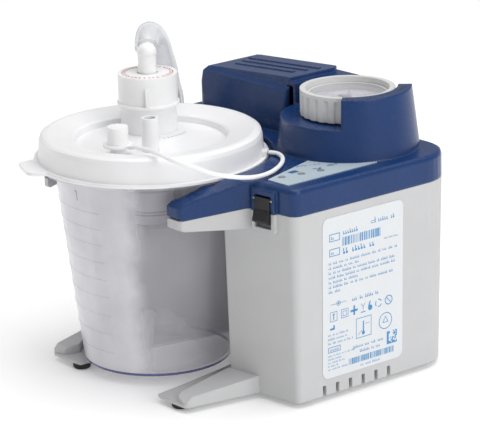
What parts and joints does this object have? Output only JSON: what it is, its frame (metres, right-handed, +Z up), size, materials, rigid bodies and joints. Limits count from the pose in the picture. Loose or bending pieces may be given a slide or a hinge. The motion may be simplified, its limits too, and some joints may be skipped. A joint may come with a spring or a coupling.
{
  "type": "suction pump",
  "caption": "Portable suction pump: two-part housing with latches, vacuum knob round a gauge, and a clear collection bottle with ported lid and hose.",
  "frame": {"origin": "middle of the bounding box on the surface that the rubber pads stand on", "axes": "+X to the side that carries the rating label, +Y to the back wall, +Z up along the patient port"},
  "size_m": [0.1976, 0.216, 0.202],
  "materials": {
    "grey_shell": "fine matte texture",
    "blue_shell": "satin",
    "label": "satin film",
    "panel_film": "satin film",
    "led_lens": "satin",
    "rubber": "matte",
    "steel": "machined",
    "black_plastic": "satin",
    "battery_wrap": "shrink wrap",
    "board": "solder mask",
    "aluminium": "cast",
    "plated_steel": "plated",
    "brass": "machined",
    "grey_plastic": "satin",
    "knob_plastic": "satin",
    "dial": "printed",
    "needle": "matte paint",
    "clear_window": "clear",
    "silicone": "soft",
    "clear_bottle": "clear moulded",
    "white_lid": "soft satin",
    "white_plastic": "satin",
    "filter_medium": "fibrous",
    "clear_hose": "soft clear"
  },
  "bodies": {
    "housing": {"lower_housing": "grey_shell", "upper_housing": "blue_shell", "label_plate": "label", "control_panel": "panel_film", "indicator_lights": "led_lens", "rubber_feet": "rubber", "case_screws": "steel", "latch_pins": "steel", "dc_inlet": "black_plastic", "switch_bezel": "black_plastic", "battery_pack": "battery_wrap", "battery_strap": "black_plastic", "circuit_board": "board", "pump_bracket": "aluminium", "bracket_grommets": "rubber", "bracket_screws": "steel", "motor_can": "plated_steel", "motor_endcap": "black_plastic", "pump_cylinder": "aluminium", "valve_plate": "aluminium", "pump_head": "black_plastic", "head_screws": "steel", "exhaust_muffler": "black_plastic", "regulator_body": "brass", "regulator_spring": "steel", "gauge_case": "knob_plastic", "gauge_dial": "dial", "gauge_window": "clear_window", "vacuum_barb": "grey_plastic", "vacuum_line": "silicone", "pump_line": "silicone", "exhaust_line": "silicone"},
    "front_clip": {"front_latch": "black_plastic"},
    "rear_clip": {"rear_latch": "black_plastic"},
    "rocker": {"power_rocker": "black_plastic"},
    "crankshaft": {"motor_shaft": "steel", "counterweight": "brass", "crank_bearing": "steel"},
    "piston": {"piston_rod": "grey_plastic", "piston_cup": "rubber"},
    "valve_sleeve": {"regulator_sleeve": "brass"},
    "knob": {"regulator_knob": "knob_plastic"},
    "needle": {"gauge_needle": "needle"},
    "canister": {"bottle": "clear_bottle"},
    "canister_lid": {"lid": "white_lid", "lid_seal": "silicone", "float_cage": "clear_bottle", "filter_cartridge": "filter_medium", "elbow": "white_plastic", "suction_hose": "clear_hose", "cap_tether": "white_plastic"},
    "float": {"shutoff_float": "white_plastic"},
    "cap_ring": {"cartridge_cap": "white_plastic"},
    "spout_cap": {"port_cap": "white_plastic"}
  },
  "joints": [
    {"name": "canister_lift", "type": "slide", "parent": "housing", "child": "canister", "axis": [0, 0, 1], "range_m": [0, 0.14]},
    {"name": "lid_lift", "type": "slide", "parent": "canister", "child": "canister_lid", "axis": [0, 0, 1], "range_m": [0, 0.08]},
    {"name": "float_rise", "type": "slide", "parent": "canister_lid", "child": "float", "axis": [0, 0, 1], "range_m": [0, 0.022]},
    {"name": "cap_ring_twist", "type": "hinge", "parent": "canister_lid", "child": "cap_ring", "pos_m": [-0.04752, -0.01495, 0.165], "axis": [0, 0, 1], "range_deg": [0, 60]},
    {"name": "spout_cap_pull", "type": "slide", "parent": "canister_lid", "child": "spout_cap", "axis": [0, 0, 1], "range_m": [0, 0.014]},
    {"name": "knob_turn", "type": "hinge", "parent": "housing", "child": "knob", "pos_m": [0.04498, 0.06305, 0.16], "axis": [0, 0, 1], "range_deg": [0, 300]},
    {"name": "sleeve_slide", "type": "slide", "parent": "housing", "child": "valve_sleeve", "axis": [0, 0, 1], "range_m": [-0.004, 0], "deforming": ["regulator_spring"]},
    {"name": "needle_turn", "type": "hinge", "parent": "housing", "child": "needle", "pos_m": [0.04498, 0.06305, 0.162], "axis": [0, 0, 1], "range_deg": [-270, 0]},
    {"name": "front_latch_open", "type": "hinge", "parent": "housing", "child": "front_clip", "pos_m": [0.0747, -0.02995, 0.1245], "axis": [-0.9931, -0.1172, 0], "range_deg": [0, 75]},
    {"name": "rear_latch_open", "type": "hinge", "parent": "housing", "child": "rear_clip", "pos_m": [0.06898, 0.10445, 0.1245], "axis": [1, 0, 0], "range_deg": [0, 75]},
    {"name": "rocker_press", "type": "hinge", "parent": "housing", "child": "rocker", "pos_m": [-0.03402, 0.09855, 0.03], "axis": [1, 0, 0], "range_deg": [0, 14]},
    {"name": "motor_spin", "type": "hinge", "parent": "housing", "child": "crankshaft", "pos_m": [0.07098, 0.01905, 0.042], "axis": [0, 1, 0], "continuous": true},
    {"name": "piston_slide", "type": "slide", "parent": "housing", "child": "piston", "axis": [0, 0, 1], "range_m": [-0.002, 0.002]}
  ],
  "couplings": [
    {"joint": "sleeve_slide", "follows": "knob_turn", "m_per_rad": -0.00076}
  ]
}
